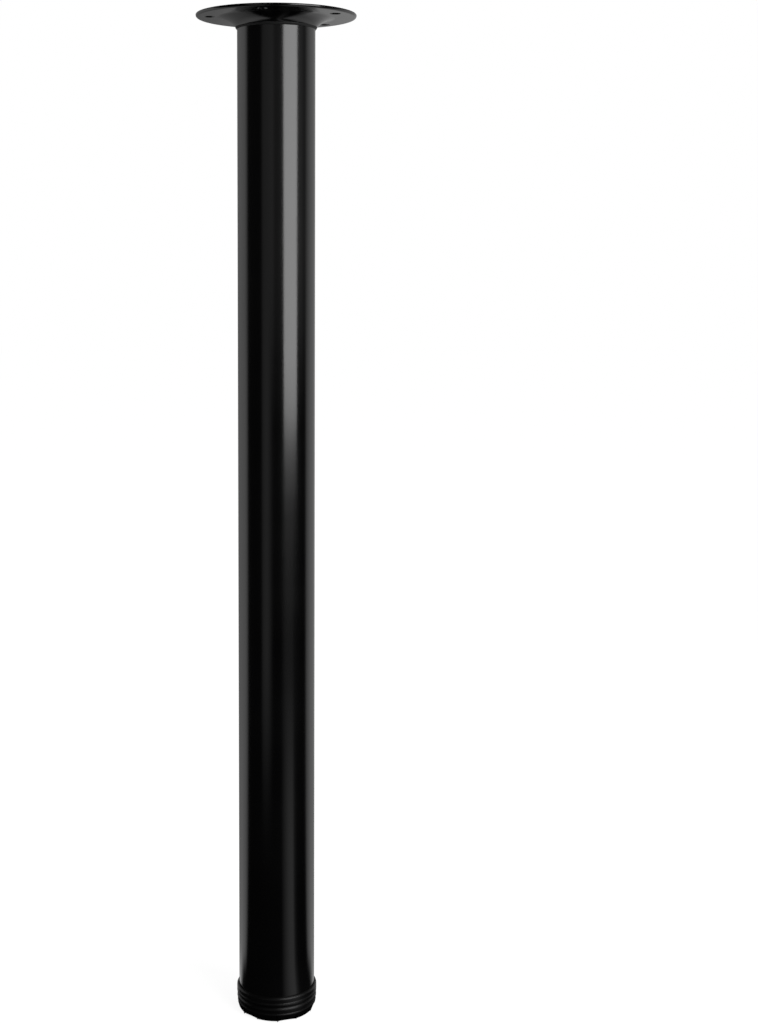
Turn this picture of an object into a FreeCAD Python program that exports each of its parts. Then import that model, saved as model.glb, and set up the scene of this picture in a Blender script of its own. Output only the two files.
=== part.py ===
import FreeCAD, Part
import math
import os
from types import SimpleNamespace

import Sketcher

# Height adjustable table leg. Millimetres, +Z up, origin on the floor under the middle of the foot.
# The foot is wound right in, so the leg stands at its lowest height.

SIZES = [
    ("leg_height", 785.0, "floor to the plate's top face, foot wound in"),
    ("tube_diameter", 60.0, "outside of the tube"),
    ("tube_wall", 1.2, "wall of the tube"),
    ("tube_setback", 3.0, "tube's top end below the plate's top face"),
    ("plate_diameter", 123.0, "mounting plate"),
    ("plate_sheet", 2.5, "sheet of the plate's flat ring"),
    ("neck_sheet", 1.2, "sheet of the drawn neck, thinned by the press"),
    ("neck_gap", 0.1, "radial gap from tube to neck, closed by the weld"),
    ("neck_land", 0.4, "straight end of the neck"),
    ("neck_bend", 5.5, "outside radius of the bend at the neck, made of short chords"),
    ("flare_slope", 21.0, "degrees from the flat ring down to the flare"),
    ("flare_share", 0.39, "how much of the way from neck to rim the flare takes"),
    ("weld_setback", 0.6, "weld's upper edge below the tube's end"),
    ("screw_share", 0.652, "how far from neck to rim the screw holes stand"),
    ("screw_hole", 5.5, "diameter of a screw hole"),
    ("screw_head", 8.8, "diameter of its countersink"),
    ("screw_count", 5, "screw holes"),
    ("first_screw", -30.0, "degrees from +X to the first screw hole"),
    ("foot_height", 13.2, "adjusting foot"),
    ("shoulder_inset", 0.15, "foot's shoulder ring inside the end cap's collar"),
    ("waist_inset", 0.35, "foot's waist inside its shoulder ring"),
    ("base_inset", 1.7, "foot's side at the floor inside its shoulder ring, edge left sharp"),
    ("shoulder_depth", 2.7, "height of the shoulder ring"),
    ("shoulder_edge", 0.8, "chamfer of the shoulder's upper edge"),
    ("base_edge", 2.2, "chamfer of the foot's lower edge"),
    ("foot_skirt", 3.4, "wall of the foot's skirt at the floor"),
    ("foot_deck", 3.0, "foot's top wall over the hollows of its underside"),
    ("foot_hub_wall", 3.2, "wall round the stud's head"),
    ("foot_rib", 2.0, "thickness of the foot's ribs"),
    ("rib_recess", 0.8, "foot's ribs above the floor"),
    ("grip_count", 6, "grip recesses round the foot"),
    ("grip_depth", 1.4, "depth of a grip recess at the floor"),
    ("grip_run_out", 1.0, "top of a grip recess below the shoulder ring"),
    ("grip_radius", 90.0, "radius of a grip recess, across the foot"),
    ("grip_turn", 46.0, "degrees from +X to a grip recess"),
    ("parting_gap", 0.3, "foot to end cap when wound in"),
    ("collar_wall", 1.8, "end cap's collar, out from the tube"),
    ("collar_height", 8.2, "end cap's collar"),
    ("lip_radius", 3.0, "rounding of the collar's upper lip, made of short chords"),
    ("lip_land", 0.4, "width left at the top of the lip"),
    ("cap_floor", 2.8, "end cap under the tube's end"),
    ("cap_fit", 0.05, "radial gap from cap to tube"),
    ("plug_length", 20.0, "end cap's plug, up inside the tube"),
    ("plug_wall", 2.4, "wall of the plug"),
    ("hub_wall", 2.8, "wall round the nut"),
    ("hub_roof", 3.0, "end cap over the nut"),
    ("cap_rib", 2.0, "thickness of the end cap's ribs"),
    ("cap_rib_count", 8, "ribs in the end cap"),
    ("nut_flats", 16.0, "nut across its flats"),
    ("nut_height", 8.4, "nut"),
    ("nut_inset", 0.8, "nut above the cap's underside"),
    ("nut_fit", 0.05, "gap from nut to pocket, each side"),
    ("stud_diameter", 10.0, "threaded stud"),
    ("stud_gap", 0.05, "radial gap from stud to nut and foot"),
    ("stud_clearance", 0.6, "radial gap from stud to cap above the nut"),
    ("stud_chamfer", 1.2, "stud's upper end"),
    ("stud_spare", 3.0, "stud above the nut with the foot wound out"),
    ("head_diameter", 19.0, "stud's head in the foot"),
    ("head_height", 4.5, "stud's head"),
    ("head_floor", 3.0, "foot under the stud's head"),
    ("foot_travel", 25.0, "how far the foot winds out"),
    ("rib_bite", 0.8, "how far a rib runs into the walls it joins"),
]


class Size:
    """A number, and the expression on the sheet of sizes that gives it."""

    def __init__(self, value, text):
        self.value = value
        self.text = text

    def __add__(self, other):
        other = as_size(other)
        return Size(self.value + other.value, f"({self.text} + {other.text})")

    def __sub__(self, other):
        other = as_size(other)
        return Size(self.value - other.value, f"({self.text} - {other.text})")

    def __mul__(self, other):
        other = as_size(other)
        return Size(self.value * other.value, f"{self.text} * {other.text}")

    def __truediv__(self, other):
        other = as_size(other)
        return Size(self.value / other.value, f"{self.text} / {other.text}")

    def __neg__(self):
        return Size(-self.value, f"(0 - {self.text})")


def as_size(value):
    """A Size as it is, or a plain number made into one."""
    return value if isinstance(value, Size) else Size(float(value), str(value))


def sine(degrees):
    """Sine of an angle in degrees."""
    return Size(math.sin(math.radians(degrees.value)), f"sin({degrees.text})")


def cosine(degrees):
    """Cosine of an angle in degrees."""
    return Size(math.cos(math.radians(degrees.value)), f"cos({degrees.text})")


def tangent(degrees):
    """Tangent of an angle in degrees."""
    return Size(math.tan(math.radians(degrees.value)), f"tan({degrees.text})")


def root(value):
    """Square root."""
    return Size(math.sqrt(value.value), f"sqrt({value.text})")


doc = FreeCAD.newDocument("table_leg")
sheet = doc.addObject("Spreadsheet::Sheet", "Sizes")
for row, (alias, number, note) in enumerate(SIZES, start=1):
    sheet.set(f"A{row}", note)
    sheet.set(f"B{row}", str(number))
    sheet.setAlias(f"B{row}", alias)
doc.recompute()
dim = SimpleNamespace(**{alias: Size(float(number), f"Sizes.{alias}") for alias, number, _ in SIZES})

ZERO = as_size(0)
OVERCUT = as_size(1)
THIRD, HALF, WHOLE = as_size(1) / 3, as_size(1) / 2, as_size(1)

# Heights and radii that more than one piece shares
tube_radius = dim.tube_diameter / 2
tube_bore = tube_radius - dim.tube_wall
collar_radius = tube_radius + dim.collar_wall
tube_top = dim.leg_height - dim.tube_setback
cap_bottom = dim.foot_height + dim.parting_gap
tube_bottom = cap_bottom + dim.cap_floor
nut_bottom = cap_bottom + dim.nut_inset
nut_top = nut_bottom + dim.nut_height
stud_radius = dim.stud_diameter / 2
stud_top = nut_top + dim.foot_travel + dim.stud_spare
head_radius = dim.head_diameter / 2
head_top = dim.head_floor + dim.head_height

# The plate's trumpet: a flare that leaves the flat ring at a crease, then a bend into the neck.
# A turn of the bend is counted in degrees from the neck's upright wall.
neck_inside = tube_radius + dim.neck_gap
neck_outside = neck_inside + dim.neck_sheet
rim_radius = dim.plate_diameter / 2
flare_start = neck_outside + (rim_radius - neck_outside) * dim.flare_share
screw_radius = neck_outside + (rim_radius - neck_outside) * dim.screw_share
bend_middle = neck_outside + dim.neck_bend
bend_turn = as_size(90) - dim.flare_slope
flare_foot = bend_middle - dim.neck_bend * cosine(bend_turn)
flare_fall = (flare_start - flare_foot) * tangent(dim.flare_slope)
land_top = dim.leg_height - dim.plate_sheet - flare_fall - dim.neck_bend * sine(bend_turn)
neck_end = land_top - dim.neck_land


def on_bend(radius, share):
    """A point of the neck's bend, after a share of its turn up from the neck."""
    turn = bend_turn * share
    return bend_middle - radius * cosine(turn), land_top + radius * sine(turn)


# The weld lies on the lower half of the bend's upper side.
weld_low = (neck_inside, land_top)
weld_high = on_bend(dim.neck_bend + dim.neck_sheet, HALF)


def vector(across, up):
    """A point of a sketch."""
    return FreeCAD.Vector(across.value, up.value, 0)


def fix(sketch, kind, places, size):
    """Add a dimension to a sketch and tie it to the sheet."""
    index = sketch.addConstraint(Sketcher.Constraint(kind, *places, size.value))
    sketch.setExpression(f"Constraints[{index}]", size.text)


def new_sketch(body, plane, name):
    """A sketch on one of the body's own origin planes."""
    sketch = body.newObject("Sketcher::SketchObject", name)
    support = next(item for item in body.Origin.OriginFeatures if item.Role == plane)
    sketch.AttachmentSupport = [(support, "")]
    sketch.MapMode = "FlatFace"
    return sketch


def outline(sketch, corners):
    """Draw a closed outline of straight lines through the corners, each (across, up)."""
    edges = []
    for number, corner in enumerate(corners):
        edges.append(sketch.addGeometry(Part.LineSegment(vector(*corners[number - 1]), vector(*corner))))
    for number, edge in enumerate(edges):
        following = edges[(number + 1) % len(edges)]
        sketch.addConstraint(Sketcher.Constraint("Coincident", edge, 2, following, 1))
        fix(sketch, "DistanceX", (-1, 1, edge, 2), corners[number][0])
        fix(sketch, "DistanceY", (-1, 1, edge, 2), corners[number][1])


def circle(sketch, radius):
    """Draw a circle round the sketch's origin."""
    edge = sketch.addGeometry(Part.Circle(FreeCAD.Vector(), FreeCAD.Vector(0, 0, 1), radius.value))
    sketch.addConstraint(Sketcher.Constraint("Coincident", edge, 3, -1, 1))
    fix(sketch, "Radius", (edge,), radius)


def new_body(label):
    """An empty body for one sub-part."""
    body = doc.addObject("PartDesign::Body", label)
    body.Label = label
    return body


def finish_cut(body, feature):
    """Recompute a cut and make sure that it took material away."""
    before = feature.BaseFeature.Shape.Volume
    doc.recompute()
    if not feature.Shape.Volume < before:
        raise RuntimeError(f"{feature.Label} cut nothing from {body.Label}")
    return feature


def revolve(body, name, corners):
    """Turn an outline about the leg's axis into a solid."""
    sketch = new_sketch(body, "XZ_Plane", f"{name}_outline")
    outline(sketch, corners)
    feature = body.newObject("PartDesign::Revolution", name)
    feature.Profile = sketch
    feature.ReferenceAxis = (sketch, ["V_Axis"])
    feature.Angle = 360
    doc.recompute()
    return feature


def groove(body, name, corners, axis=None):
    """Turn an outline about the leg's axis, or about an upright axis beside it, and cut it away."""
    sketch = new_sketch(body, "XZ_Plane", f"{name}_outline")
    outline(sketch, corners)
    feature = body.newObject("PartDesign::Groove", name)
    feature.Profile = sketch
    feature.ReferenceAxis = (sketch, ["V_Axis"])
    if axis is not None:
        low, high = vector(axis, ZERO), vector(axis, dim.foot_height)
        line = sketch.addGeometry(Part.LineSegment(low, high), True)
        sketch.addConstraint(Sketcher.Constraint("Vertical", line))
        sketch.addConstraint(Sketcher.Constraint("PointOnObject", line, 1, -1))
        fix(sketch, "DistanceX", (-1, 1, line, 1), axis)
        fix(sketch, "DistanceY", (-1, 1, line, 2), dim.foot_height)
        feature.ReferenceAxis = (sketch, ["Axis0"])
    feature.Angle = 360
    return finish_cut(body, feature)


def around(body, feature, count):
    """Repeat a feature evenly round the leg's axis."""
    pattern = body.newObject("PartDesign::PolarPattern", f"{feature.Name}_ring")
    pattern.Originals = [feature]
    axis = next(item for item in body.Origin.OriginFeatures if item.Role == "Z_Axis")
    pattern.Axis = (axis, [""])
    pattern.Angle = 360
    pattern.Occurrences = int(count.value)
    pattern.setExpression("Occurrences", count.text)
    body.Tip = pattern
    doc.recompute()
    return pattern


def pad(body, name, sketch, length, symmetric=False):
    """Extrude a sketch."""
    feature = body.newObject("PartDesign::Pad", name)
    feature.Profile = sketch
    feature.SideType = "Symmetric" if symmetric else "One side"
    feature.Length = length.value
    feature.setExpression("Length", length.text)
    doc.recompute()
    return feature


def ribs(body, name, inner, outer, low, high, thickness, count):
    """Radial ribs between two round walls, each biting into both."""
    sketch = new_sketch(body, "XZ_Plane", f"{name}_outline")
    left, right = inner - dim.rib_bite, outer + dim.rib_bite
    outline(sketch, [(left, low), (right, low), (right, high), (left, high)])
    return around(body, pad(body, name, sketch, thickness, symmetric=True), count)


def hexagon(across_flats):
    """The corners of a hexagon round the sketch's origin."""
    reach = across_flats / root(as_size(3))
    return [(reach * cosine(as_size(turn)), reach * sine(as_size(turn))) for turn in range(0, 360, 60)]


def turned(body, angle):
    """Turn a whole body about the leg's axis."""
    body.Placement = FreeCAD.Placement(
        FreeCAD.Vector(), FreeCAD.Rotation(FreeCAD.Vector(0, 0, 1), angle.value)
    )
    body.setExpression("Placement.Rotation.Angle", angle.text)


def mounting_plate():
    """Pressed disc: flat ring, trumpet and neck, with countersunk screw holes from below."""
    body = new_body("mounting_plate")
    top = dim.leg_height
    underside = top - dim.plate_sheet
    flare_top = on_bend(dim.neck_bend + dim.neck_sheet, WHOLE)
    upper_start = flare_top[0] + (top - flare_top[1]) / tangent(dim.flare_slope)
    revolve(
        body,
        "pressing",
        [
            (neck_inside, neck_end),
            (neck_outside, neck_end),
            (neck_outside, land_top),
            on_bend(dim.neck_bend, THIRD),
            on_bend(dim.neck_bend, THIRD * 2),
            on_bend(dim.neck_bend, WHOLE),
            (flare_start, underside),
            (rim_radius, underside),
            (rim_radius, top),
            (upper_start, top),
            flare_top,
            weld_high,
            weld_low,
        ],
    )
    hole = screw_radius + dim.screw_hole / 2
    head = screw_radius + dim.screw_head / 2
    sink = dim.screw_head / 2 - dim.screw_hole / 2
    screw = groove(
        body,
        "screw_hole",
        [
            (screw_radius, underside - OVERCUT),
            (head, underside - OVERCUT),
            (head, underside),
            (hole, underside + sink),
            (hole, top + OVERCUT),
            (screw_radius, top + OVERCUT),
        ],
        axis=screw_radius,
    )
    around(body, screw, dim.screw_count)
    turned(body, dim.first_screw)
    return body


def weld_bead():
    """Weld laid in the groove between the tube's top end and the neck."""
    body = new_body("weld_bead")
    upper_edge = tube_top - dim.weld_setback
    revolve(body, "bead", [(tube_radius, weld_low[1]), weld_low, weld_high, (tube_radius, upper_edge)])
    return body


def leg_tube():
    """Round steel tube, from the end cap's floor to just under the plate's top face."""
    body = new_body("leg_tube")
    sketch = new_sketch(body, "XY_Plane", "section")
    circle(sketch, tube_radius)
    circle(sketch, tube_bore)
    sketch.setExpression("AttachmentOffset.Base.z", tube_bottom.text)
    pad(body, "length", sketch, tube_top - tube_bottom)
    return body


def end_cap():
    """Moulding with a collar round the tube, a ribbed plug inside it and a pocket for the nut."""
    body = new_body("end_cap")
    collar_top = cap_bottom + dim.collar_height
    collar_inside = tube_radius + dim.cap_fit
    lip_tip = collar_inside + dim.lip_land
    lip_middle = collar_radius - dim.lip_radius
    lip_rise = root(dim.lip_radius * dim.lip_radius - (lip_tip - lip_middle) * (lip_tip - lip_middle))
    lip_knee = root(dim.lip_radius * dim.lip_radius - lip_rise * lip_rise / 4)
    plug_outer = tube_bore - dim.cap_fit
    plug_inner = plug_outer - dim.plug_wall
    plug_top = tube_bottom + dim.plug_length
    hub = dim.nut_flats / root(as_size(3)) + dim.hub_wall
    hub_top = nut_top + dim.hub_roof
    revolve(
        body,
        "moulding",
        [
            (ZERO, cap_bottom),
            (collar_radius, cap_bottom),
            (collar_radius, collar_top - lip_rise),
            (lip_middle + lip_knee, collar_top - lip_rise / 2),
            (lip_tip, collar_top),
            (collar_inside, collar_top),
            (collar_inside, tube_bottom),
            (plug_outer, tube_bottom),
            (plug_outer, plug_top),
            (plug_inner, plug_top),
            (plug_inner, tube_bottom),
            (hub, tube_bottom),
            (hub, hub_top),
            (ZERO, hub_top),
        ],
    )
    ribs(body, "rib", hub, plug_inner, tube_bottom - dim.rib_bite, hub_top, dim.cap_rib, dim.cap_rib_count)
    groove(
        body,
        "stud_way",
        [
            (ZERO, cap_bottom - OVERCUT),
            (stud_radius + dim.stud_clearance, cap_bottom - OVERCUT),
            (stud_radius + dim.stud_clearance, hub_top + OVERCUT),
            (ZERO, hub_top + OVERCUT),
        ],
    )
    sketch = new_sketch(body, "XY_Plane", "nut_pocket_outline")
    outline(sketch, hexagon(dim.nut_flats + dim.nut_fit * 2))
    sketch.setExpression("AttachmentOffset.Base.z", nut_top.text)
    pocket = body.newObject("PartDesign::Pocket", "nut_pocket")
    pocket.Profile = sketch
    depth = nut_top - cap_bottom + OVERCUT
    pocket.Length = depth.value
    pocket.setExpression("Length", depth.text)
    finish_cut(body, pocket)
    return body


def stud_nut():
    """Hexagon nut held in the end cap."""
    body = new_body("stud_nut")
    sketch = new_sketch(body, "XY_Plane", "hexagon")
    outline(sketch, hexagon(dim.nut_flats))
    circle(sketch, stud_radius + dim.stud_gap)
    sketch.setExpression("AttachmentOffset.Base.z", nut_bottom.text)
    pad(body, "blank", sketch, dim.nut_height)
    return body


def foot_stud():
    """Stud with a round head, which the foot is moulded round."""
    body = new_body("foot_stud")
    revolve(
        body,
        "turning",
        [
            (ZERO, dim.head_floor),
            (head_radius, dim.head_floor),
            (head_radius, head_top),
            (stud_radius, head_top),
            (stud_radius, stud_top - dim.stud_chamfer),
            (stud_radius - dim.stud_chamfer, stud_top),
            (ZERO, stud_top),
        ],
    )
    return body


def adjusting_foot():
    """Moulded foot: shoulder ring, tapered skirt with grip recesses, ribbed and hollow underneath."""
    body = new_body("adjusting_foot")
    shoulder = collar_radius - dim.shoulder_inset
    waist = shoulder - dim.waist_inset
    base = shoulder - dim.base_inset
    shoulder_low = dim.foot_height - dim.shoulder_depth
    top_edge = dim.shoulder_edge
    step = dim.waist_inset
    taper = (waist - base) / (shoulder_low - step)
    edge = dim.base_edge
    revolve(
        body,
        "moulding",
        [
            (ZERO, ZERO),
            (base - edge, ZERO),
            (base + taper * edge, edge),
            (waist, shoulder_low - step),
            (shoulder, shoulder_low),
            (shoulder, dim.foot_height - top_edge),
            (shoulder - top_edge, dim.foot_height),
            (ZERO, dim.foot_height),
        ],
    )
    hub = head_radius + dim.foot_hub_wall
    skirt = base - dim.foot_skirt
    hollow_top = dim.foot_height - dim.foot_deck
    groove(
        body,
        "hollow",
        [(hub, -OVERCUT), (skirt, -OVERCUT), (skirt, hollow_top), (hub, hollow_top)],
    )
    ribs(
        body,
        "rib",
        hub,
        skirt,
        dim.rib_recess,
        hollow_top + dim.rib_bite,
        dim.foot_rib,
        dim.grip_count,
    )
    grip_top = shoulder_low - step - dim.grip_run_out
    grip_edge = base + taper * grip_top
    grip_axis = base - dim.grip_depth + dim.grip_radius
    slope = (grip_edge - base + dim.grip_depth) / grip_top
    grip = groove(
        body,
        "grip",
        [
            (grip_axis, -OVERCUT),
            (base - dim.grip_depth - slope * OVERCUT, -OVERCUT),
            (grip_edge, grip_top),
            (grip_axis, grip_top),
        ],
        axis=grip_axis,
    )
    around(body, grip, dim.grip_count)
    play = dim.stud_gap
    groove(
        body,
        "stud_seat",
        [
            (ZERO, dim.head_floor - play),
            (head_radius + play, dim.head_floor - play),
            (head_radius + play, head_top + play),
            (stud_radius + play, head_top + play),
            (stud_radius + play, dim.foot_height + OVERCUT),
            (ZERO, dim.foot_height + OVERCUT),
        ],
    )
    turned(body, dim.grip_turn)
    return body


parts = [
    mounting_plate(),
    weld_bead(),
    leg_tube(),
    end_cap(),
    stud_nut(),
    foot_stud(),
    adjusting_foot(),
]
doc.recompute()

for item in doc.Objects:
    if "Invalid" in item.State or "Error" in item.State:
        raise RuntimeError(f"{item.Label} failed: {item.State}")
for part in parts:
    if part.Shape.isNull() or not part.Shape.isValid():
        raise RuntimeError(f"{part.Label} has no sound shape")

os.makedirs("parts", exist_ok=True)
for part in parts:
    part.Shape.exportStep(f"parts/{part.Label}.step")
    print(part.Label, round(part.Shape.Volume, 1), len(part.Shape.Solids))
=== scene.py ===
import math

import bpy
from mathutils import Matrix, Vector


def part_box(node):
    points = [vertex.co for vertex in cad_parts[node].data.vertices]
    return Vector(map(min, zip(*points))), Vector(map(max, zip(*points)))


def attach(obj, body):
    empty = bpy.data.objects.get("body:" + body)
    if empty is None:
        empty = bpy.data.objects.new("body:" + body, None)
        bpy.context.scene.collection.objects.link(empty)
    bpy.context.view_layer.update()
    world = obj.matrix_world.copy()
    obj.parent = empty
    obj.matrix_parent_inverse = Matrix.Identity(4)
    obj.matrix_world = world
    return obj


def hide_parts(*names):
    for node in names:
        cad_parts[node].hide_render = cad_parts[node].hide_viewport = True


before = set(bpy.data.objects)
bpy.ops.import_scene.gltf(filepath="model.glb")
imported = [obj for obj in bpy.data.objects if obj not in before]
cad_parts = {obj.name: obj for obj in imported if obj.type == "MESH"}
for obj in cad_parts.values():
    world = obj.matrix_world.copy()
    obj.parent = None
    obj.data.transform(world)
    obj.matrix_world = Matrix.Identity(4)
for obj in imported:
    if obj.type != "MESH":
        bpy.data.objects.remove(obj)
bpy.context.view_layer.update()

# Height adjustable table leg, dressed for the render. Metres, +Z up, the leg's axis is the Z axis.
MM = 0.001
ROUND = 256          # faces round the tube, the plate and the foot
SHARP = math.radians(28)

# Sizes that the pieces share with the solids
tube_low, tube_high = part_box("leg_tube")
plate_low, plate_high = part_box("mounting_plate")
cap_low, cap_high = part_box("end_cap")
foot_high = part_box("adjusting_foot")[1]
nut_low, nut_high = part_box("stud_nut")
stud_low, stud_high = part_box("foot_stud")

TUBE_RADIUS = 30.0 * MM
TUBE_WALL = 1.2 * MM
TUBE_BORE = TUBE_RADIUS - TUBE_WALL
PLATE_RADIUS = 61.5 * MM
PLATE_SHEET = 2.5 * MM
NECK_SHEET = 1.2 * MM
NECK_GAP = 0.1 * MM
NECK_LAND = 0.4 * MM
NECK_BEND = 5.5 * MM
FLARE_SLOPE = math.radians(21)
FLARE_START = 43.08 * MM
SCREW_CIRCLE = 50.99 * MM
SCREW_HOLE = 2.75 * MM
SCREW_HEAD = 4.4 * MM
SCREW_COUNT = 5
FIRST_SCREW = math.radians(-30)
NECK_END = plate_low.z


def start_clean():
    """Nothing selected, and no piece in edit mode."""
    if bpy.context.mode != "OBJECT":
        bpy.ops.object.mode_set(mode="OBJECT")
    bpy.ops.object.select_all(action="DESELECT")


def pick(obj):
    """Select one piece alone."""
    start_clean()
    obj.select_set(True)
    bpy.context.view_layer.objects.active = obj


def lathe(name, rings, closed=True, around=ROUND):
    """Draw one circle and extrude it from ring to ring, each (radius, height), as on a lathe.
    A closed section ends where it began. An open one starts or ends in a flat face on the axis."""
    start_clean()
    flat_start = rings[0][0] == 0
    rings = rings[1:] if flat_start else rings
    radius, height = rings[0]
    bpy.ops.mesh.primitive_circle_add(
        vertices=around, radius=radius, location=(0, 0, height), fill_type="NGON" if flat_start else "NOTHING"
    )
    obj = bpy.context.object
    obj.name = name
    bpy.ops.object.transform_apply(location=True, rotation=True, scale=True)
    bpy.ops.object.mode_set(mode="EDIT")
    bpy.ops.mesh.select_all(action="SELECT")
    path = rings[1:] + ([rings[0]] if closed else [])
    for next_radius, next_height in path:
        bpy.ops.mesh.extrude_edges_move(TRANSFORM_OT_translate={"value": (0, 0, next_height - height)})
        if next_radius > 0:
            grow = next_radius / radius
            bpy.ops.transform.resize(value=(grow, grow, 1), center_override=(0, 0, next_height))
            radius = next_radius
        else:
            bpy.ops.mesh.merge(type="CENTER")
        height = next_height
    bpy.ops.mesh.select_all(action="SELECT")
    bpy.ops.mesh.remove_doubles(threshold=1e-6)
    bpy.ops.mesh.normals_make_consistent(inside=False)
    bpy.ops.object.mode_set(mode="OBJECT")
    return obj


def round_rings(obj, rings, width, segments):
    """Round the sharp circles at the given (radius, height)."""
    pick(obj)
    bpy.ops.object.mode_set(mode="EDIT")
    bpy.ops.mesh.select_all(action="DESELECT")
    bpy.ops.mesh.select_mode(type="EDGE")
    bpy.ops.object.mode_set(mode="OBJECT")
    near = 0.02 * MM
    points = [v.co for v in obj.data.vertices]
    for edge in obj.data.edges:
        a, b = (points[i] for i in edge.vertices)
        for radius, height in rings:
            if all(abs(p.z - height) < near and abs(p.xy.length - radius) < near for p in (a, b)):
                edge.select = True
    bpy.ops.object.mode_set(mode="EDIT")
    bpy.ops.mesh.bevel(offset=width, segments=segments, profile=0.5, affect="EDGES")
    bpy.ops.object.mode_set(mode="OBJECT")


def cut(obj, tool, operation="DIFFERENCE"):
    """Cut one piece with another, or join them into one solid."""
    pick(obj)
    step = obj.modifiers.new("cut", "BOOLEAN")
    step.object = tool
    step.operation = operation
    step.solver = "EXACT"
    bpy.ops.object.modifier_apply(modifier=step.name)
    pick(tool)
    bpy.ops.object.delete()


def smooth(obj, angle=SHARP):
    """Shade the faces smooth, with edges sharper than the angle left crisp and flat walls kept flat."""
    pick(obj)
    bpy.ops.object.shade_smooth_by_angle(angle=angle)
    step = obj.modifiers.new("even", "WEIGHTED_NORMAL")
    step.keep_sharp = True
    step.weight = 100
    bpy.ops.object.modifier_apply(modifier=step.name)


def around_axis(radius, degrees, height):
    """A place round the leg's axis."""
    turn = math.radians(degrees)
    return Vector((radius * math.cos(turn), radius * math.sin(turn), height))


def finish_piece(obj, node, body, material):
    """Give a piece its finish, set it in for its solid and let it move with its body."""
    obj.data.materials.clear()
    obj.data.materials.append(material)
    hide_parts(node)
    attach(obj, body)


# Materials

def new_material(name):
    """A material with its shader, and the node tree to build on."""
    material = bpy.data.materials.new(name)
    material.use_nodes = True
    tree = material.node_tree
    return material, tree, tree.nodes["Principled BSDF"]


def between(tree, source, low, high):
    """Rises smoothly from 0 to 1 between two values."""
    node = tree.nodes.new("ShaderNodeMapRange")
    node.interpolation_type = "SMOOTHSTEP"
    node.inputs["From Min"].default_value = low
    node.inputs["From Max"].default_value = high
    tree.links.new(source, node.inputs["Value"])
    return node.outputs["Result"]


def object_noise(tree, scale, detail):
    """Noise that is fixed to the piece."""
    place = tree.nodes.new("ShaderNodeTexCoord")
    noise = tree.nodes.new("ShaderNodeTexNoise")
    noise.inputs["Scale"].default_value = scale
    noise.inputs["Detail"].default_value = detail
    tree.links.new(place.outputs["Object"], noise.inputs["Vector"])
    return noise


def spread(tree, source, low, high):
    """Map a noise to a narrow range of values."""
    node = tree.nodes.new("ShaderNodeMapRange")
    node.inputs["From Min"].default_value = 0.3
    node.inputs["From Max"].default_value = 0.7
    node.inputs["To Min"].default_value = low
    node.inputs["To Max"].default_value = high
    tree.links.new(source, node.inputs["Value"])
    return node.outputs["Result"]


def tint(tree, source, dark, light):
    """Blend two near colours by a noise."""
    ramp = tree.nodes.new("ShaderNodeValToRGB")
    ramp.color_ramp.elements[0].position = 0.35
    ramp.color_ramp.elements[0].color = (*dark, 1)
    ramp.color_ramp.elements[1].position = 0.65
    ramp.color_ramp.elements[1].color = (*light, 1)
    tree.links.new(source, ramp.inputs["Fac"])
    return ramp.outputs["Color"]


def bump(tree, shader, layers):
    """Stack bumps, each (height, strength, distance)."""
    normal = None
    for height, strength, distance in layers:
        node = tree.nodes.new("ShaderNodeBump")
        node.inputs["Strength"].default_value = strength
        node.inputs["Distance"].default_value = distance
        tree.links.new(height, node.inputs["Height"])
        if normal is not None:
            tree.links.new(normal, node.inputs["Normal"])
        normal = node.outputs["Normal"]
    tree.links.new(normal, shader.inputs["Normal"])


def powder_coat():
    """Semi-gloss black powder coat: a soft orange peel under a fine grain, dull along the neck's end."""
    material, tree, shader = new_material("powder_coat_black")
    peel = object_noise(tree, 420, 2.0)
    grain = object_noise(tree, 2600, 3.0)
    cloud = object_noise(tree, 14, 3.0)
    tree.links.new(tint(tree, cloud.outputs["Fac"], (0.0012, 0.0012, 0.0013), (0.0018, 0.0018, 0.0019)),
                   shader.inputs["Base Color"])
    place = tree.nodes.new("ShaderNodeTexCoord")
    parts = tree.nodes.new("ShaderNodeSeparateXYZ")
    tree.links.new(place.outputs["Object"], parts.inputs[0])
    above = between(tree, parts.outputs["Z"], NECK_END, NECK_END + 0.1 * MM)
    below = between(tree, parts.outputs["Z"], NECK_END + 1.9 * MM, NECK_END + 1.4 * MM)
    dull = tree.nodes.new("ShaderNodeMath")
    dull.operation = "MULTIPLY"
    tree.links.new(above, dull.inputs[0])
    tree.links.new(below, dull.inputs[1])
    rough = tree.nodes.new("ShaderNodeMapRange")
    tree.links.new(dull.outputs[0], rough.inputs["Value"])
    tree.links.new(spread(tree, cloud.outputs["Fac"], 0.15, 0.19), rough.inputs["To Min"])
    rough.inputs["To Max"].default_value = 0.75
    tree.links.new(rough.outputs["Result"], shader.inputs["Roughness"])
    shader.inputs["IOR"].default_value = 1.5
    bump(tree, shader, [(peel.outputs["Fac"], 0.12, 0.00008), (grain.outputs["Fac"], 0.1, 0.00002)])
    return material


def moulded_plastic():
    """Black moulded plastic with a fine spark-eroded grain."""
    material, tree, shader = new_material("moulded_plastic_black")
    grain = object_noise(tree, 2200, 4.0)
    flow = object_noise(tree, 45, 2.0)
    tree.links.new(tint(tree, flow.outputs["Fac"], (0.0012, 0.0012, 0.0013), (0.0019, 0.0019, 0.002)),
                   shader.inputs["Base Color"])
    tree.links.new(spread(tree, flow.outputs["Fac"], 0.34, 0.40), shader.inputs["Roughness"])
    shader.inputs["IOR"].default_value = 1.33
    bump(tree, shader, [(grain.outputs["Fac"], 0.25, 0.00003)])
    return material


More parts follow.
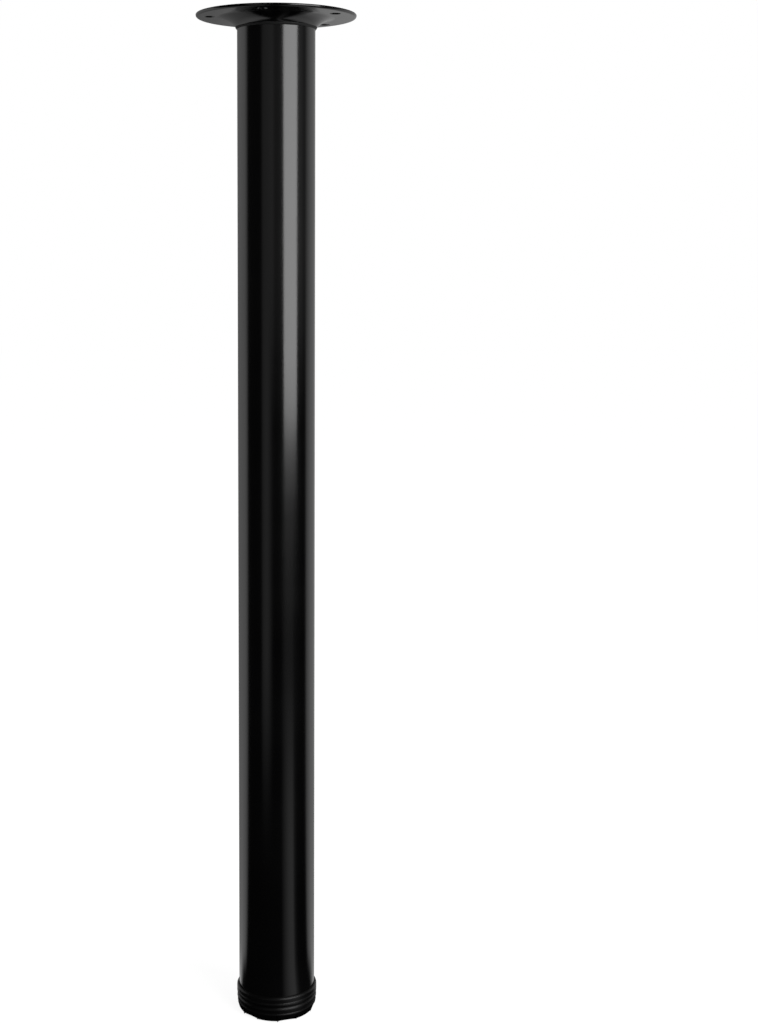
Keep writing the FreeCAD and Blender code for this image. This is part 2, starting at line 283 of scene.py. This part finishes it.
def zinc_plate():
    """Bright zinc plated steel, a little clouded."""
    material, tree, shader = new_material("zinc_plated_steel")
    cloud = object_noise(tree, 160, 3.0)
    scratch = object_noise(tree, 3000, 2.0)
    tree.links.new(tint(tree, cloud.outputs["Fac"], (0.5, 0.51, 0.53), (0.63, 0.64, 0.65)),
                   shader.inputs["Base Color"])
    tree.links.new(spread(tree, cloud.outputs["Fac"], 0.22, 0.34), shader.inputs["Roughness"])
    shader.inputs["Metallic"].default_value = 1.0
    bump(tree, shader, [(scratch.outputs["Fac"], 0.12, 0.00002)])
    return material


coat = powder_coat()
plastic = moulded_plastic()
zinc = zinc_plate()


# Mounting plate

def bend_points(middle, radius, start, end, steps):
    """Points round a bend of the neck, by turns from the upright neck towards the flare."""
    points = []
    for step in range(steps + 1):
        turn = start + (end - start) * step / steps
        points.append((middle[0] - radius * math.cos(turn), middle[1] + radius * math.sin(turn)))
    return points


NECK_WALL = 1.2 * MM               # height of the tapered wall above the neck's end
NECK_EDGE = 0.35 * MM
TIGHT_BEND = 1.6 * MM
TIGHT_TURN = math.radians(45)
RIM_ROUND = 1.6 * MM               # lower edge of the plate's rim
RIM_EASE = 0.7 * MM                # upper edge of the rim
FLARE_ROUND = 2.4 * MM
FLARE_TOP_ROUND = 2.5 * MM

neck_inside = TUBE_RADIUS + NECK_GAP
neck_outside = neck_inside + NECK_SHEET
bend_middle = neck_outside + NECK_BEND
bend_turn = math.pi / 2 - FLARE_SLOPE
top = plate_high.z
underside = top - PLATE_SHEET
land_top = NECK_END + NECK_LAND
inner_bend = bend_points((bend_middle, land_top), NECK_BEND + NECK_SHEET, 0, bend_turn, 12)

# The outer side bends tightly above its upright end, and then in a long sweep that meets the flare.
tight = bend_points((neck_outside + TIGHT_BEND, NECK_END + NECK_WALL), TIGHT_BEND, 0, TIGHT_TURN, 6)
sweep_start = tight[-1]
rise = underside - sweep_start[1] - (FLARE_START - sweep_start[0]) * math.tan(FLARE_SLOPE)
SWEEP = rise / (math.sin(bend_turn) - math.sin(TIGHT_TURN)
                - (math.cos(TIGHT_TURN) - math.cos(bend_turn)) * math.tan(FLARE_SLOPE))
sweep_middle = (sweep_start[0] + SWEEP * math.cos(TIGHT_TURN), sweep_start[1] - SWEEP * math.sin(TIGHT_TURN))
sweep = bend_points(sweep_middle, SWEEP, TIGHT_TURN, bend_turn, 12)
flare_top = inner_bend[-1]
upper_start = flare_top[0] + (top - flare_top[1]) / math.tan(FLARE_SLOPE)


def make_plate():
    """Pressed disc with its trumpet, and the five countersunk holes."""
    section = [(neck_inside, NECK_END), (neck_inside + NECK_EDGE, NECK_END)] + tight + sweep[1:]
    section += [(FLARE_START, underside), (PLATE_RADIUS, underside), (PLATE_RADIUS, top), (upper_start, top)]
    section += inner_bend[::-1]
    plate = lathe("plate_pressing", section)
    round_rings(plate, [(PLATE_RADIUS, underside)], RIM_ROUND, 6)
    round_rings(plate, [(PLATE_RADIUS, top)], RIM_EASE, 3)
    round_rings(plate, [(upper_start, top)], FLARE_TOP_ROUND, 5)
    round_rings(plate, [(FLARE_START, underside)], FLARE_ROUND, 5)
    sink = SCREW_HEAD - SCREW_HOLE
    for number in range(SCREW_COUNT):
        place = around_axis(SCREW_CIRCLE, math.degrees(FIRST_SCREW) + 360 / SCREW_COUNT * number, 0)
        drill = lathe("drill", [(0, underside - sink), (SCREW_HEAD + sink, underside - sink),
                                (SCREW_HOLE, underside + sink), (SCREW_HOLE, top + sink), (0, top + sink)],
                      closed=False, around=48)
        drill.location = (place.x, place.y, 0)
        cut(plate, drill)
    smooth(plate)
    return plate


plate = make_plate()
finish_piece(plate, "mounting_plate", "leg", coat)


# Tube

TUBE_EASE = 0.2 * MM


def make_tube():
    """Straight tube with its cut ends eased."""
    low, high = tube_low.z, tube_high.z
    section = [(TUBE_RADIUS, low), (TUBE_RADIUS, high), (TUBE_BORE, high), (TUBE_BORE, low)]
    tube = lathe("round_tube", section)
    round_rings(tube, section, TUBE_EASE, 2)
    smooth(tube)
    return tube


finish_piece(make_tube(), "leg_tube", "leg", coat)


# Weld between the tube's top end and the neck

WELD_RIPPLES = 120
WELD_UPPER = tube_high.z - 0.6 * MM
RIPPLE_HEIGHT = 0.22 * MM


def make_weld():
    """Bead with a small crown, drawn out in ripples all the way round."""
    low = (neck_inside, land_top)
    high = inner_bend[len(inner_bend) // 2]
    face = [(TUBE_RADIUS + 0.55 * MM, WELD_UPPER + 0.1 * MM), (TUBE_RADIUS + 1.3 * MM, WELD_UPPER - 0.75 * MM),
            (high[0] - 0.35 * MM, high[1] + 0.45 * MM)]
    section = [(TUBE_RADIUS, low[1]), low, high] + face[::-1] + [(TUBE_RADIUS, WELD_UPPER)]
    weld = lathe("weld_ring", section, around=WELD_RIPPLES * 4)
    pick(weld)
    step = math.tau / (WELD_RIPPLES * 4)
    for vertex in weld.data.vertices:
        number = round(math.atan2(vertex.co.y, vertex.co.x) / step) % 4
        on_face = vertex.co.z > high[1] + 0.2 * MM and vertex.co.xy.length > TUBE_RADIUS + 0.3 * MM
        vertex.select = on_face and number in (0, 1)
    bpy.ops.object.mode_set(mode="EDIT")
    bpy.ops.mesh.select_mode(type="VERT")
    bpy.ops.transform.translate(value=(0, 0, RIPPLE_HEIGHT))
    bpy.ops.object.mode_set(mode="OBJECT")
    smooth(weld, math.radians(60))
    return weld


finish_piece(make_weld(), "weld_bead", "leg", coat)


# End cap

CAP_FIT = 0.05 * MM
CAP_WALL = 1.8 * MM
CAP_FLOOR = 2.8 * MM
COLLAR_HEIGHT = 8.2 * MM
COLLAR_LINE = 2.5 * MM
LINE_RUN = 1.0 * MM
LINE_DEPTH = 0.45 * MM
LINE_STEP = 0.2 * MM
LIP_DROP = 0.9 * MM
LIP_RADIUS = 3.0 * MM
LIP_LAND = 0.4 * MM
PLUG_WALL = 2.4 * MM
HUB_WALL = 2.8 * MM
HUB_ROOF = 3.0 * MM
CAP_RIBS = 8
CAP_RIB = 2.0 * MM
NUT_CORNER = 16 / math.sqrt(3) * MM
NUT_FIT = 0.05 * MM
STUD_WAY = 5.6 * MM
RIB_BITE = 0.8 * MM


def add_ribs(obj, count, thickness, inner, outer, low, high):
    """Join upright ribs to a moulding, from an inner wall to an outer one."""
    for number in range(count):
        start_clean()
        turn = math.tau / count * number
        middle = (inner + outer) / 2
        bpy.ops.mesh.primitive_cube_add(size=1, location=(middle, 0, (low + high) / 2))
        rib = bpy.context.object
        rib.scale = (outer - inner + 2 * RIB_BITE, thickness, high - low)
        bpy.ops.object.transform_apply(location=True, rotation=True, scale=True)
        rib.rotation_euler = (0, 0, turn)
        bpy.ops.object.transform_apply(location=True, rotation=True, scale=True)
        cut(obj, rib, "UNION")


def prism(radius, low, high, sides, turn=0.0):
    """An upright prism to cut with."""
    start_clean()
    bpy.ops.mesh.primitive_cylinder_add(
        vertices=sides, radius=radius, depth=high - low, location=(0, 0, (low + high) / 2), rotation=(0, 0, turn)
    )
    return bpy.context.object


def make_cap():
    """Collar with a rounded lip and a fine line, and a ribbed plug with the nut's pocket."""
    base = cap_low.z
    floor = base + CAP_FLOOR
    collar = TUBE_RADIUS + CAP_WALL
    lip_top = base + COLLAR_HEIGHT - LIP_DROP
    inside = TUBE_RADIUS + CAP_FIT
    lip_middle = collar - LIP_RADIUS
    lip_rise = math.sqrt(LIP_RADIUS ** 2 - (inside + LIP_LAND - lip_middle) ** 2)
    lip_turn = math.asin(lip_rise / LIP_RADIUS)
    lip = [(lip_middle + LIP_RADIUS * math.cos(lip_turn * n / 8),
            lip_top - lip_rise + LIP_RADIUS * math.sin(lip_turn * n / 8)) for n in range(9)]
    line = base + COLLAR_LINE
    plug = TUBE_BORE - CAP_FIT
    plug_top = cap_high.z
    plug_inner = plug - PLUG_WALL
    hub = NUT_CORNER + HUB_WALL
    hub_top = nut_high.z + HUB_ROOF
    section = [(STUD_WAY, base), (collar, base), (collar, line - LINE_RUN), (collar - LINE_DEPTH, line),
               (collar, line + LINE_STEP)] + lip
    section += [(inside, lip_top), (inside, floor), (plug, floor), (plug, plug_top), (plug_inner, plug_top),
                (plug_inner, floor), (hub, floor), (hub, hub_top), (STUD_WAY, hub_top)]
    cap = lathe("tube_end_cap", section)
    round_rings(cap, [(collar, base)], 0.5 * MM, 3)
    round_rings(cap, [(plug, plug_top)], 0.8 * MM, 3)
    round_rings(cap, [(plug_inner, plug_top), (hub, hub_top)], 0.3 * MM, 2)
    add_ribs(cap, CAP_RIBS, CAP_RIB, hub, plug_inner, floor - RIB_BITE, hub_top)
    cut(cap, prism(NUT_CORNER + NUT_FIT * 2 / math.sqrt(3), base - 1 * MM, nut_high.z, 6, math.pi / 6))
    smooth(cap)
    return cap


finish_piece(make_cap(), "end_cap", "leg", plastic)


# Nut and stud

PITCH = 1.5 * MM
THREAD_DEPTH = 0.92 * MM
STUD_RADIUS = 5.0 * MM
HEAD_RADIUS = 9.5 * MM
HEAD_HEIGHT = 4.5 * MM
STUD_GAP = 0.05 * MM


def make_nut():
    """Hexagon nut, turned down to a chamfer at both ends."""
    low, high = nut_low.z, nut_high.z
    nut = prism(NUT_CORNER, low, high, 6, math.pi / 6)
    nut.name = "hexagon_nut"
    pick(nut)
    bpy.ops.object.transform_apply(location=True, rotation=True, scale=True)
    flat = NUT_CORNER * math.cos(math.pi / 6)
    fall = (NUT_CORNER + 0.4 * MM - flat) * math.tan(math.radians(30))
    wide = NUT_CORNER + 0.4 * MM
    barrel = [(0.9 * flat, low - 1 * MM), (flat - 0.1 * MM, low), (wide, low + fall), (wide, high - fall),
              (flat - 0.1 * MM, high), (0.9 * flat, high + 1 * MM)]
    turned = lathe("turned", [(0, low - 1 * MM)] + barrel + [(0, high + 1 * MM)], closed=False)
    cut(nut, turned, "INTERSECT")
    cut(nut, prism(STUD_RADIUS + STUD_GAP, low - 1 * MM, high + 1 * MM, 96))
    smooth(nut)
    return nut


def make_stud():
    """Stud with its thread wound up from the head, a chamfered end and a round head."""
    low, high = stud_low.z, stud_high.z
    head_top = low + HEAD_HEIGHT
    root = STUD_RADIUS - THREAD_DEPTH
    turns = int((high - head_top) / PITCH) + 4
    start = head_top - 2 * PITCH
    start_clean()
    bpy.ops.mesh.primitive_plane_add(size=1, location=(0, 0, 0))
    stud = bpy.context.object
    stud.name = "threaded_stud"
    bpy.ops.object.mode_set(mode="EDIT")
    bpy.ops.mesh.select_mode(type="VERT")
    bpy.ops.mesh.select_all(action="SELECT")
    bpy.ops.mesh.merge(type="CENTER")
    bpy.ops.transform.translate(value=(root, 0, start))
    flank = (PITCH * 0.4, PITCH * 0.1, PITCH * 0.4, PITCH * 0.1)
    for rise, out in zip(flank, (THREAD_DEPTH, 0, -THREAD_DEPTH, 0)):
        bpy.ops.mesh.extrude_vertices_move(TRANSFORM_OT_translate={"value": (out, 0, rise)})
    bpy.ops.object.mode_set(mode="OBJECT")
    wind = stud.modifiers.new("wind", "SCREW")
    wind.axis = "Z"
    wind.screw_offset = PITCH
    wind.iterations = turns
    wind.steps = wind.render_steps = 48
    wind.use_merge_vertices = True
    wind.merge_threshold = 1e-6
    wind.use_normal_calculate = True
    bpy.ops.object.modifier_apply(modifier=wind.name)
    bpy.ops.object.mode_set(mode="EDIT")
    bpy.ops.mesh.select_all(action="SELECT")
    bpy.ops.mesh.remove_doubles(threshold=1e-6)
    for place, normal in ((head_top - 0.2 * MM, (0, 0, -1)), (high + 0.3 * MM, (0, 0, 1))):
        bpy.ops.mesh.select_all(action="SELECT")
        bpy.ops.mesh.bisect(
            plane_co=(0, 0, place), plane_no=normal, use_fill=True, clear_outer=True, threshold=1e-7
        )
    bpy.ops.mesh.select_all(action="SELECT")
    bpy.ops.mesh.normals_make_consistent(inside=False)
    bpy.ops.object.mode_set(mode="OBJECT")
    tip = lathe("tip", [(0, head_top - 0.5 * MM), (STUD_RADIUS + 1 * MM, head_top - 0.5 * MM),
                        (STUD_RADIUS + 1 * MM, high - 2.2 * MM), (STUD_RADIUS - 1.2 * MM, high),
                        (0, high)], closed=False)
    cut(stud, tip, "INTERSECT")
    head = lathe("head", [(0, low), (HEAD_RADIUS, low), (HEAD_RADIUS, head_top), (0, head_top)], closed=False)
    round_rings(head, [(HEAD_RADIUS, low), (HEAD_RADIUS, head_top)], 0.4 * MM, 2)
    cut(stud, head, "UNION")
    smooth(stud)
    return stud


finish_piece(make_nut(), "stud_nut", "leg", zinc)
finish_piece(make_stud(), "foot_stud", "stud", zinc)


# Adjusting foot

SHOULDER = TUBE_RADIUS + CAP_WALL - 0.15 * MM
WAIST = SHOULDER - 0.35 * MM
BASE = SHOULDER - 1.7 * MM
FOOT_SKIRT = 3.4 * MM
FOOT_DECK = 3.0 * MM
FOOT_HUB = HEAD_RADIUS + 3.2 * MM
FOOT_RIB = 2.0 * MM
RIB_RECESS = 0.8 * MM
GRIPS = 6
GRIP_DEPTH = 1.4 * MM
GRIP_RADIUS = 90.0 * MM
GRIP_TURN = math.radians(46)
GRIP_RUN_OUT = 0.4 * MM
BASE_ROUND = 3.0 * MM
GROOVE = 1.0 * MM                  # depth of the groove under the shoulder
SHOULDER_WALL = 3.4 * MM
SHOULDER_ROUND = 3.2 * MM
SKIRT_TOP = 6.2 * MM


def make_foot():
    """Shoulder ring and tapered skirt with grip recesses, hollow and ribbed underneath."""
    height = foot_high.z
    shoulder_low = height - SHOULDER_WALL
    taper = (WAIST - BASE) / SKIRT_TOP
    hollow = height - FOOT_DECK
    skirt = BASE - FOOT_SKIRT
    seat_low, seat_high = stud_low.z - STUD_GAP, stud_low.z + HEAD_HEIGHT + STUD_GAP
    seat, way = HEAD_RADIUS + STUD_GAP, STUD_RADIUS + STUD_GAP
    section = [(BASE, 0), (WAIST, SKIRT_TOP), (WAIST - 0.1 * MM, SKIRT_TOP + 0.6 * MM),
               (WAIST - 0.28 * MM, SKIRT_TOP + 1.0 * MM), (WAIST - GROOVE, SKIRT_TOP + 1.6 * MM),
               (WAIST - GROOVE, shoulder_low), (SHOULDER, shoulder_low), (SHOULDER, height), (way, height),
               (way, seat_high), (seat, seat_high), (seat, seat_low), (0, seat_low)]
    foot = lathe("levelling_foot", section, closed=False)
    round_rings(foot, [(SHOULDER, height)], SHOULDER_ROUND, 8)
    outer = lathe("underside", [(BASE, 0), (skirt, 0), (skirt, hollow), (FOOT_HUB, hollow), (FOOT_HUB, 0), (0, 0)],
                  closed=False)
    pick(foot)
    outer.select_set(True)
    bpy.ops.object.join()
    bpy.ops.object.mode_set(mode="EDIT")
    bpy.ops.mesh.select_all(action="SELECT")
    bpy.ops.mesh.remove_doubles(threshold=1e-6)
    bpy.ops.mesh.normals_make_consistent(inside=False)
    bpy.ops.object.mode_set(mode="OBJECT")
    add_ribs(foot, GRIPS, FOOT_RIB, FOOT_HUB, skirt, RIB_RECESS, hollow + RIB_BITE)
    grip_top = SKIRT_TOP - GRIP_RUN_OUT
    grip_axis = BASE - GRIP_DEPTH + GRIP_RADIUS
    slope = (BASE + taper * grip_top - BASE + GRIP_DEPTH) / grip_top
    below = 1 * MM
    for number in range(GRIPS):
        place = around_axis(grip_axis, 360 / GRIPS * number, (grip_top - below) / 2)
        start_clean()
        bpy.ops.mesh.primitive_cone_add(
            vertices=512, radius1=GRIP_RADIUS + slope * below, radius2=GRIP_RADIUS - slope * grip_top,
            depth=grip_top + below, location=place,
        )
        cut(foot, bpy.context.object)
    pick(foot)
    foot.rotation_euler = (0, 0, GRIP_TURN)
    bpy.ops.object.transform_apply(location=True, rotation=True, scale=True)
    bpy.ops.object.mode_set(mode="EDIT")
    bpy.ops.mesh.select_mode(type="EDGE")
    bpy.ops.mesh.select_all(action="DESELECT")
    bpy.ops.object.mode_set(mode="OBJECT")
    for edge in foot.data.edges:
        ends = [foot.data.vertices[i].co for i in edge.vertices]
        edge.select = all(end.z < 0.01 * MM and end.xy.length > BASE - 2 * MM for end in ends)
    bpy.ops.object.mode_set(mode="EDIT")
    bpy.ops.mesh.bevel(offset=BASE_ROUND, segments=6, profile=0.5, affect="EDGES")
    bpy.ops.object.mode_set(mode="OBJECT")
    ease = foot.modifiers.new("ease", "BEVEL")
    ease.width = 0.5 * MM
    ease.segments = 3
    ease.limit_method = "ANGLE"
    ease.angle_limit = math.radians(18)
    ease.use_clamp_overlap = True
    bpy.ops.object.modifier_apply(modifier=ease.name)
    smooth(foot)
    return foot


finish_piece(make_foot(), "adjusting_foot", "foot", plastic)


# Floor, lights and camera

# What stands round the leg in the studio, as its gloss shows it: degrees from the front, to the right,
# with how bright it is there in the room, and the painted light and shade on the far floor, on the near floor and
# at the foot.
SURROUND = [
    (-180, 0.32, 0.32, 0.30, 0.30), (-177, 0.18, 0.18, 0.24, 0.30), (-170, 0.18, 0.18, 0.26, 0.30),
    (-145, 0.36, 0.34, 0.32, 0.40), (-125, 0.66, 0.66, 0.70, 0.90), (-112, 0.84, 0.88, 0.80, 0.40),
    (-107, 0.90, 0.95, 0.85, 0.02), (-98, 0.55, 0.70, 0.55, 0.02), (-93, 0.03, 0.02, 0.01, 0.01),
    (-46, 0.02, 0.01, 0.01, 0.01), (-40, 0.24, 0.28, 0.01, 0.01), (-28, 0.27, 0.36, 0.01, 0.01),
    (-19, 0.30, 0.20, 0.01, 0.01), (-12, 0.34, 0.02, 0.01, 0.01), (-4, 0.15, 0.00, 0.01, 0.01),
    (14, 0.15, 0.00, 0.01, 0.01), (26, 0.20, 0.13, 0.28, 0.30), (36, 0.20, 0.14, 0.50, 0.50),
    (48, 0.20, 0.12, 0.54, 0.56), (53, 0.20, 0.03, 0.10, 0.20), (62, 0.26, 0.01, 0.01, 0.02),
    (80, 0.28, 0.00, 0.00, 0.01), (90, 0.10, 0.00, 0.00, 0.01), (95, 0.16, 0.02, 0.02, 0.01),
    (102, 0.52, 0.62, 0.56, 0.01), (110, 0.70, 0.74, 0.68, 0.30), (122, 0.78, 0.82, 0.76, 0.75),
    (142, 0.52, 0.52, 0.46, 0.50), (174, 0.50, 0.50, 0.40, 0.40), (180, 0.32, 0.32, 0.30, 0.30),
]
FLOOR_RINGS = [(0.085, 0.14), (0.35, 1.1)]     # metres from the axis where one column gives way to the next
PAINTED_FOOT_SHADE = (0.042, 0.056)     # metres from the axis where the painted shade round the foot, seen only in gloss, ends


def surround(tree, source, column):
    """Brightness by the direction that a point lies in, seen from the leg."""
    parts = tree.nodes.new("ShaderNodeSeparateXYZ")
    tree.links.new(source, parts.inputs[0])
    back = tree.nodes.new("ShaderNodeMath")
    back.operation = "MULTIPLY"
    back.inputs[1].default_value = -1
    tree.links.new(parts.outputs["Y"], back.inputs[0])
    turn = tree.nodes.new("ShaderNodeMath")
    turn.operation = "ARCTAN2"
    tree.links.new(parts.outputs["X"], turn.inputs[0])
    tree.links.new(back.outputs[0], turn.inputs[1])
    share = tree.nodes.new("ShaderNodeMapRange")
    share.inputs["From Min"].default_value = -math.pi
    share.inputs["From Max"].default_value = math.pi
    tree.links.new(turn.outputs[0], share.inputs["Value"])
    ramp = tree.nodes.new("ShaderNodeValToRGB")
    stops = ramp.color_ramp.elements
    for number, row in enumerate(SURROUND):
        place = (row[0] + 180) / 360
        stop = stops[number] if number < 2 else stops.new(place)
        stop.position = place
        stop.color = (row[column],) * 3 + (1,)
    tree.links.new(share.outputs["Result"], ramp.inputs["Fac"])
    return ramp.outputs["Color"]


def make_floor():
    """Pale floor that shows white, keeps the leg's soft shadow and is clear from underneath. To gloss alone it
    glows with painted light and shade round the leg, and a painted shade round the foot.
    """
    start_clean()
    bpy.ops.mesh.primitive_plane_add(size=16, location=(0, 0, -0.0002))
    floor = bpy.context.object
    floor.name = "studio_floor"
    bpy.ops.object.transform_apply(location=True, rotation=True, scale=True)
    material, tree, shader = new_material("studio_floor")
    shader.inputs["Base Color"].default_value = (0.3, 0.3, 0.3, 1)
    shader.inputs["Roughness"].default_value = 1.0
    shader.inputs["Specular IOR Level"].default_value = 0.0
    glow = tree.nodes.new("ShaderNodeEmission")
    glow.inputs["Strength"].default_value = 0.88
    both = tree.nodes.new("ShaderNodeAddShader")
    tree.links.new(shader.outputs[0], both.inputs[0])
    tree.links.new(glow.outputs[0], both.inputs[1])
    place = tree.nodes.new("ShaderNodeTexCoord")
    # The floor's glow for gloss only: painted light and shade that the leg's reflections show.
    gloss = tree.nodes.new("ShaderNodeEmission")
    away = tree.nodes.new("ShaderNodeVectorMath")
    away.operation = "LENGTH"
    tree.links.new(place.outputs["Object"], away.inputs[0])
    painted_floor_light = surround(tree, place.outputs["Object"], 4)
    # Painted light and shade on the floor, seen only in gloss: the foot's, the near floor's and the far floor's
    # columns, blended by distance from the axis.
    for column, (low, high) in zip((3, 2), FLOOR_RINGS):
        blend = tree.nodes.new("ShaderNodeMix")
        blend.data_type = "RGBA"
        tree.links.new(between(tree, away.outputs["Value"], low, high), blend.inputs[0])
        tree.links.new(painted_floor_light, blend.inputs[6])
        tree.links.new(surround(tree, place.outputs["Object"], column), blend.inputs[7])
        painted_floor_light = blend.outputs[2]
    tree.links.new(painted_floor_light, gloss.inputs["Color"])
    # The floor's gloss fades to a painted shade near the foot.
    tree.links.new(between(tree, away.outputs["Value"], *PAINTED_FOOT_SHADE), gloss.inputs["Strength"])
    path = tree.nodes.new("ShaderNodeLightPath")
    pale = tree.nodes.new("ShaderNodeMixShader")
    tree.links.new(path.outputs["Is Camera Ray"], pale.inputs["Fac"])
    tree.links.new(shader.outputs[0], pale.inputs[1])
    tree.links.new(both.outputs[0], pale.inputs[2])
    mixed = tree.nodes.new("ShaderNodeMixShader")
    tree.links.new(path.outputs["Is Glossy Ray"], mixed.inputs["Fac"])
    tree.links.new(pale.outputs[0], mixed.inputs[1])
    tree.links.new(gloss.outputs[0], mixed.inputs[2])
    side = tree.nodes.new("ShaderNodeNewGeometry")
    clear = tree.nodes.new("ShaderNodeBsdfTransparent")
    one_way = tree.nodes.new("ShaderNodeMixShader")
    tree.links.new(side.outputs["Backfacing"], one_way.inputs["Fac"])
    tree.links.new(mixed.outputs[0], one_way.inputs[1])
    tree.links.new(clear.outputs[0], one_way.inputs[2])
    tree.links.new(one_way.outputs[0], tree.nodes["Material Output"].inputs["Surface"])
    floor.data.materials.append(material)
    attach(floor, "stud")     # it stays under the foot when the foot winds out


def soft_box(name, place, aim, width, height, power):
    """A soft lamp that faces a point."""
    light = bpy.data.lights.new(name, "AREA")
    light.shape = "RECTANGLE"
    light.size = width
    light.size_y = height
    light.energy = power
    lamp = bpy.data.objects.new(name, light)
    bpy.context.scene.collection.objects.link(lamp)
    lamp.location = place
    lamp.rotation_euler = (Vector(aim) - Vector(place)).to_track_quat("-Z", "Y").to_euler()


def make_world():
    """White for the camera, an even room for the light, and the surround for gloss."""
    world = bpy.data.worlds.new("studio")
    world.use_nodes = True
    tree = world.node_tree
    even = tree.nodes["Background"]
    even.inputs["Color"].default_value = (1, 1, 1, 1)
    path = tree.nodes.new("ShaderNodeLightPath")
    level = tree.nodes.new("ShaderNodeMapRange")
    level.inputs["To Min"].default_value = 0.4
    level.inputs["To Max"].default_value = 1.0
    tree.links.new(path.outputs["Is Camera Ray"], level.inputs["Value"])
    tree.links.new(level.outputs["Result"], even.inputs["Strength"])
    place = tree.nodes.new("ShaderNodeTexCoord")
    gloss = tree.nodes.new("ShaderNodeBackground")
    tree.links.new(surround(tree, place.outputs["Generated"], 1), gloss.inputs["Color"])
    height = tree.nodes.new("ShaderNodeSeparateXYZ")
    tree.links.new(place.outputs["Generated"], height.inputs[0])
    fall = between(tree, height.outputs["Z"], 0.18, 0.34)
    fall.node.inputs["To Min"].default_value = 1.0
    fall.node.inputs["To Max"].default_value = 0.08
    tree.links.new(fall, gloss.inputs["Strength"])
    mixed = tree.nodes.new("ShaderNodeMixShader")
    tree.links.new(path.outputs["Is Glossy Ray"], mixed.inputs["Fac"])
    tree.links.new(even.outputs[0], mixed.inputs[1])
    tree.links.new(gloss.outputs[0], mixed.inputs[2])
    tree.links.new(mixed.outputs[0], tree.nodes["World Output"].inputs["Surface"])
    bpy.context.scene.world = world


def make_camera():
    """The photograph's view: a little under the plate, with the frame lowered to the foot."""
    lens = bpy.data.cameras.new("camera")
    lens.sensor_fit = "AUTO"
    lens.sensor_width = 36
    lens.lens = 55.518
    lens.shift_x = 0.0498
    lens.shift_y = -0.12987
    camera = bpy.data.objects.new("camera", lens)
    bpy.context.scene.collection.objects.link(camera)
    camera.location = (0, -1.22721, 0.60647)
    camera.rotation_euler = (math.radians(85.3), math.radians(-0.1207), math.radians(-1.8659))
    bpy.context.scene.camera = camera


make_floor()
soft_box("key_box", (1.07, -1.188, 0.79), (0, 0, 0.51), 1.24, 1.04, 22.6)
make_world()
make_camera()
bpy.context.scene.view_settings.view_transform = "Standard"

start_clean()
